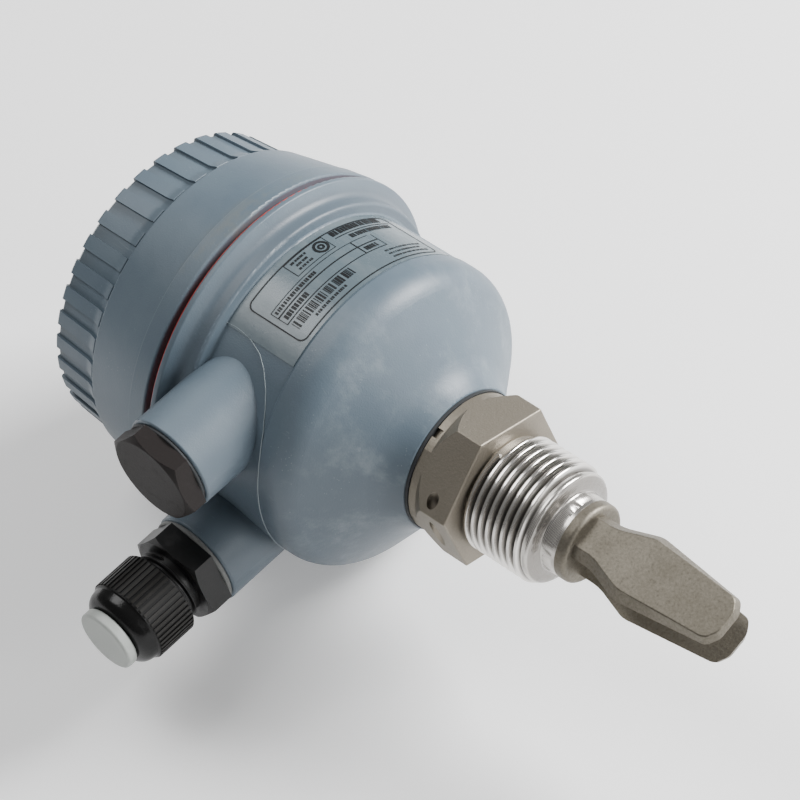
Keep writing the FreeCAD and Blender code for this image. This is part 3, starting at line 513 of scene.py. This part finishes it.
def onCircle(p, x, radius):              # on a circle round X
    return abs(p.x - x) < closeBy["along"] and abs(math.hypot(p.y, p.z) - radius) < closeBy["around"]


def onForkThread(p):
    r = math.hypot(p.y, p.z)
    return abs(r - forkThread["wall"]) < closeBy["around"] and -0.0001 < p.x < 0.0187


threadedFork = copyNode("process_fork")
editFaces(threadedFork, onHub)
bpy.ops.mesh.delete(type="FACE")
bpy.ops.object.mode_set(mode="OBJECT")
editPoints(threadedFork, lambda p: onCircle(p, hub["from"], hub["start"]))
placeX, radius = hub["from"], hub["start"]
for nextX, nextRadius in hub["profile"]:
    bpy.ops.mesh.extrude_region_move(TRANSFORM_OT_translate={"value": (nextX - placeX, 0, 0)})
    bpy.ops.transform.resize(value=(1, nextRadius / radius, nextRadius / radius),
                             center_override=(nextX, 0, 0))
    placeX, radius = nextX, nextRadius
bpy.ops.object.mode_set(mode="OBJECT")
editPoints(threadedFork, lambda p: onCircle(p, placeX, radius) or onCircle(p, hub["to"], hub["end"]))
bpy.ops.mesh.bridge_edge_loops()
bpy.ops.mesh.select_all(action="SELECT")
bpy.ops.mesh.normals_make_consistent(inside=False)
bpy.ops.object.mode_set(mode="OBJECT")
cutToRoot(threadedFork, onForkThread, forkThread, (0, 0, 0), (1, 2))
finishPiece(threadedFork, "threadedFork", "switch_body", finishes["castSteel"],
            likeNode="process_fork")
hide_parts("process_fork")
forkRidge = makeRidge(forkThread)
finishPiece(forkRidge, "forkThreadRidge", "switch_body", finishes["brightThread"], 20)
print("process thread cut")

glandThread = {"wall": 0.01, "root": 0.00915, "crest": 0.00998, "sink": 0.0002, "foot": 0.00132,
               "flat": 0.0003, "pitch": 0.0015, "from": 0.0634, "to": 0.0732, "steps": 56}
threadedGland = copyNode("gland_body")


def onGlandNeck(p):
    r = math.hypot(p.x - entries["x"], p.z + entries["z"])
    return -0.0745 < p.y < -0.0623 and 0.0094 < r < 0.01005


cutToRoot(threadedGland, onGlandNeck, glandThread, (entries["x"], 0, -entries["z"]), (0, 2))
finishPiece(threadedGland, "threadedGlandBody", "switch_body", finishes["nylon"],
            likeNode="gland_body")
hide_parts("gland_body")
glandRidge = makeRidge(glandThread)
turnToEntry(glandRidge, -1)
finishPiece(glandRidge, "glandThreadRidge", "switch_body", finishes["nylon"], 25)

plugThread = {"wall": 0.00995, "root": 0.00912, "crest": 0.00993, "sink": 0.0002, "foot": 0.00132,
              "flat": 0.0003, "pitch": 0.0015, "from": 0.0452, "to": 0.0545, "steps": 56}
threadedPlug = copyNode("blanking_plug")


def onPlugShank(p):
    r = math.hypot(p.x - entries["x"], p.z - entries["z"])
    return -0.0554 < p.y < -0.0442 and 0.0099 < r < 0.01


cutToRoot(threadedPlug, onPlugShank, plugThread, (entries["x"], 0, entries["z"]), (0, 2))
finishPiece(threadedPlug, "threadedPlug", "plug", finishes["plug"],
            likeNode="blanking_plug")
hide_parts("blanking_plug")
plugRidge = makeRidge(plugThread)
turnToEntry(plugRidge, 1)
finishPiece(plugRidge, "plugThreadRidge", "plug", finishes["plug"], 25)
print("gland and plug threads cut")

spigotThread = {"wall": 0.043, "root": 0.0419, "crest": 0.0430, "sink": 0.0002, "foot": 0.0022,
                "flat": 0.0010, "pitch": 0.0030, "from": -0.0884, "to": -0.0794, "steps": 144}
threadedHousing = copyNode("housing")


def onSpigot(p):
    return -0.0904 < p.x < -0.07545 and 0.0415 < math.hypot(p.y, p.z) < 0.04305


cutToRoot(threadedHousing, onSpigot, spigotThread, (0, 0, 0), (1, 2))
finishPiece(threadedHousing, "threadedHousing", "switch_body", finishes["housing"],
            likeNode="housing")
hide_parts("housing")
spigotRidge = makeRidge(spigotThread)
finishPiece(spigotRidge, "spigotThreadRidge", "switch_body", finishes["housing"], 25)
print("cover thread cut on the housing")

# The cover seal is squeezed out along the rim, where it shows red in the gap
sealLip = {"behind": -0.0761, "inside": 0.0443, "out": 1.060}
lippedSeal = copyNode("cover_seal")
editPoints(lippedSeal, lambda p: p.x > sealLip["behind"] and math.hypot(p.y, p.z) > sealLip["inside"])
bpy.ops.transform.resize(value=(1, sealLip["out"], sealLip["out"]), center_override=(0, 0, 0))
bpy.ops.object.mode_set(mode="OBJECT")
lippedSeal.data.attributes.remove(lippedSeal.data.attributes["home"])
finishPiece(lippedSeal, "lippedCoverSeal", "cover_carrier", finishes["redSilicone"], 60)
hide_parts("cover_seal")
print("seal lip drawn out")

# The drum's mould line runs round the flat between the bosses; angles are about X, from +Y
mouldLine = {"radius": 0.04243, "bead": 0.00013, "between": 4,
             "rise": 0.00035, "riseFrom": 0.0440, "riseOver": 0.0006,
             "path": [(-0.0672, 121.0), (-0.0640, 120.6), (-0.0608, 120.9), (-0.0578, 121.8), (-0.0539, 124.0),
                      (-0.0509, 127.4), (-0.0477, 133.0), (-0.0458, 138.4), (-0.0442, 145.2), (-0.0432, 152.1),
                      (-0.0428, 160.5), (-0.0427, 170.0), (-0.0427, 180.0)]}
corners = mouldLine["path"] + [(x, 360 - degrees) for x, degrees in reversed(mouldLine["path"][:-1])]
line = [tuple(a + (b - a) * k / mouldLine["between"] for a, b in zip(start, end))
        for start, end in zip(corners, corners[1:]) for k in range(mouldLine["between"])] + corners[-1:]
clearSelection()
bpy.ops.curve.primitive_nurbs_path_add(location=(0, 0, 0))
bead = bpy.context.object
spline = bead.data.splines[0]
spline.points.add(len(line) - len(spline.points))
for point, (x, degrees) in zip(spline.points, line):
    share = min(1, max(0, (x + mouldLine["riseFrom"]) / mouldLine["riseOver"]))
    radius = mouldLine["radius"] + mouldLine["rise"] * share
    point.co = (x, radius * math.cos(math.radians(degrees)), radius * math.sin(math.radians(degrees)), 1)
spline.order_u = 3
spline.use_endpoint_u = True
spline.resolution_u = 8
bead.data.bevel_depth = mouldLine["bead"]
bead.data.bevel_resolution = 2
bead.data.use_fill_caps = True
pick(bead)
bpy.ops.object.convert(target="MESH")
bead = bpy.context.object
finishPiece(bead, "drumMouldLine", "switch_body", finishes["bead"], 60)
print("mould line laid")

# Print on the label: rows of arcs, each row from one x to another, arcs in degrees from +Y
label = {"radius": 0.04260, "thickness": 0.00003, "steps": 1440, "line": 0.0004, "space": 0.375,
         "top": -0.0644, "bottom": -0.0448, "start": 113.5, "end": 45.0, "corner": 0.0022}


def dashes(start, end, widths):          # short strokes one after the other, with even spaces
    arcs = []
    place = start
    width = widths[0]
    while place - width > end:
        arcs.append((place, place - width))
        place = place - width - label["space"]
        width = widths[len(arcs) % len(widths)]
    return arcs


def printRow(fromX, toX, arcs):
    clearSelection()
    bpy.ops.mesh.primitive_cylinder_add(vertices=label["steps"], radius=label["radius"], depth=abs(toX - fromX),
                                        end_fill_type="NOTHING", location=((fromX + toX) / 2, 0, 0),
                                        rotation=(0, math.pi / 2, 0))
    row = bpy.context.object
    settle(row)

    def blank(centre):
        degrees = math.degrees(math.atan2(centre.z, centre.y))
        return not any(end < degrees < start for start, end in arcs)

    editFaces(row, blank)
    bpy.ops.mesh.delete(type="FACE")
    bpy.ops.object.mode_set(mode="OBJECT")
    return row


def printRing(x, degrees, outer, width, quarter=None):      # flat ring, or one quarter of it
    clearSelection()
    radius = label["radius"]
    where = (x, radius * math.cos(math.radians(degrees)), radius * math.sin(math.radians(degrees)))
    bpy.ops.mesh.primitive_circle_add(vertices=64, radius=outer, fill_type="NGON")
    ring = bpy.context.object
    bpy.ops.object.mode_set(mode="EDIT")
    bpy.ops.mesh.select_all(action="SELECT")
    bpy.ops.mesh.inset(thickness=width)
    bpy.ops.mesh.delete(type="FACE")
    bpy.ops.object.mode_set(mode="OBJECT")
    if quarter is not None:
        editFaces(ring, lambda c: c.x * quarter[0] < 0 or c.y * quarter[1] < 0)
        bpy.ops.mesh.delete(type="FACE")
        bpy.ops.object.mode_set(mode="OBJECT")
    ring.rotation_euler = (math.radians(degrees - 90), 0, 0)
    ring.location = where
    settle(ring)
    return ring


thin = label["line"]
turn = math.degrees(label["corner"] / label["radius"])
left, right = label["start"] - turn, label["end"] + turn
first, last = label["top"] + label["corner"], label["bottom"] - label["corner"]
edge = math.degrees(thin / label["radius"])
stripes = {"start": 110, "step": 0.625, "count": 46, "widths": (0.25, 0.5, 0.25, 0.25, 0.5)}
stripeStarts = [(k, stripes["start"] - stripes["step"] * k) for k in range(stripes["count"]) if k % 7 != 3]
stripeArcs = [(start, start - stripes["widths"][k % 5]) for k, start in stripeStarts]
printed = [
    printRow(label["top"], label["top"] + thin, [(left, right)]),
    printRow(label["bottom"] - thin, label["bottom"], [(left, right)]),
    printRow(first, last, [(label["start"], label["start"] - edge), (label["end"] + edge, label["end"])]),
    printRing(first, left, label["corner"], thin, (-1, -1)),
    printRing(last, left, label["corner"], thin, (1, -1)),
    printRing(first, right, label["corner"], thin, (-1, 1)),
    printRing(last, right, label["corner"], thin, (1, 1)),
    # target mark for the test magnet, in its own box
    printRow(-0.0640, -0.0638, [(95.0, 77.0)]), printRow(-0.0588, -0.0586, [(95.0, 77.0)]),
    printRow(-0.0638, -0.0588, [(95.0, 94.75), (77.25, 77.0)]),
    printRing(-0.0613, 80.5, 0.0022, 0.0007), printRing(-0.0613, 80.5, 0.0010, 0.0006),
    printRow(-0.0631, -0.0624, dashes(93.0, 85.5, (1.5, 0.75, 1.0))),
    printRow(-0.0617, -0.0610, dashes(92.0, 86.5, (0.75, 1.25))),
    printRow(-0.0603, -0.0596, dashes(92.5, 86.0, (1.0, 0.5, 0.75))),
    # two ruled fields with strokes where the maker's numbers would stand
    printRow(-0.0576, -0.0574, [(111.0, 64.0)]), printRow(-0.0551, -0.0547, [(111.0, 62.0)]),
    printRow(-0.0519, -0.0516, [(111.0, 62.0)]),
    printRow(-0.0574, -0.0519, [(111.0, 110.75), (72.25, 71.75), (62.25, 62.0)]),
    printRow(-0.0568, -0.0557, dashes(110.0, 90.0, (0.75, 0.5, 0.75, 1.0))),
    printRow(-0.0541, -0.0525, dashes(109.5, 97.0, (1.0, 1.0, 0.75))),
    printRow(-0.0541, -0.0525, dashes(70.5, 64.0, (0.75, 1.0))),
    printRow(-0.0510, -0.0482, stripeArcs),
    printRow(-0.0474, -0.0466, dashes(103.0, 88.0, (0.75, 0.5))),
    # text lines at the far end
    printRow(-0.0639, -0.0619, dashes(74.0, 48.0, (1.75, 1.0, 1.5, 0.75, 1.25))),
    printRow(-0.0612, -0.0609, [(74.0, 47.0)]),
    printRow(-0.0603, -0.0587, dashes(69.0, 48.0, (1.25, 0.75, 1.0))),
    printRow(-0.0500, -0.0494, dashes(66.0, 48.0, (0.75, 0.5, 1.0))),
    printRow(-0.0485, -0.0479, dashes(66.0, 50.0, (0.5, 0.75))),
    printRow(-0.0470, -0.0464, dashes(66.0, 47.5, (0.75, 1.0, 0.5))),
]
labelPrint = joinPieces(printed)
ink = labelPrint.modifiers.new("ink", "SOLIDIFY")
ink.thickness = label["thickness"]
ink.offset = 0
bpy.ops.object.modifier_apply(modifier="ink")
finishPiece(labelPrint, "labelPrint", "switch_body", finishes["ink"], 40)
print("label printed")

camera = {"place": (0.39604, -0.33928, 0.64942), "right": (0.72459, 0.6773, -0.12742),
          "down": (0.46325, -0.61555, -0.63757), "ahead": (-0.51026, 0.40295, -0.75978), "lens": 152.46}
bpy.ops.object.camera_add()
cameraObject = bpy.context.object
cameraObject.data.lens = camera["lens"]
cameraObject.data.sensor_width = 36.0
cameraObject.data.clip_start = 0.01
cameraObject.matrix_world = Matrix([
    [camera["right"][k], -camera["down"][k], -camera["ahead"][k], camera["place"][k]]
    for k in range(3)] + [[0, 0, 0, 1]])
scene.camera = cameraObject

studio = {
    "key": {"place": (0.34, 0.72, 0.50), "size": 0.40, "power": 26.0},
    "side": {"place": (0.80, 0.15, 0.35), "size": 0.35, "power": 2.8},
    "top": {"place": (-0.50, -0.10, 0.85), "size": 0.50, "power": 5.5},
}
surround = {"aim": (-0.03, 0, 0), "sky": 0.24, "glow": 0.25, "floorSize": 6.0, "floorHeight": -0.0495}
for lampName, lamp in studio.items():
    bpy.ops.object.light_add(type="AREA", location=lamp["place"])
    lampObject = bpy.context.object
    lampObject.name = lampName
    lampObject.data.size = lamp["size"]
    lampObject.data.energy = lamp["power"]
    aim = Vector(surround["aim"]) - lampObject.location
    lampObject.rotation_euler = aim.to_track_quat("-Z", "Y").to_euler()
scene.world = scene.world or bpy.data.worlds.new("studio")
scene.world.use_nodes = True
sky = next(n for n in scene.world.node_tree.nodes if n.type == "BACKGROUND")
sky.inputs["Color"].default_value = (1.0, 1.0, 1.0, 1)
sky.inputs["Strength"].default_value = surround["sky"]

floorPaint = Paint("paperFloor", (0.9, 0.9, 0.9), 0.9, Emission_Color=(1, 1, 1, 1),
                   Emission_Strength=surround["glow"])
floorTone = floorPaint.blend((0.90, 0.90, 0.90), (0.88, 0.88, 0.885), floorPaint.noise(4.0, 2.0))
bpy.ops.mesh.primitive_plane_add(size=surround["floorSize"], location=(0, 0, surround["floorHeight"]))
floor = bpy.context.object
floor.name = "floor"
settle(floor)
floor.data.materials.append(floorPaint.done(floorTone))
print("camera, light and floor set")
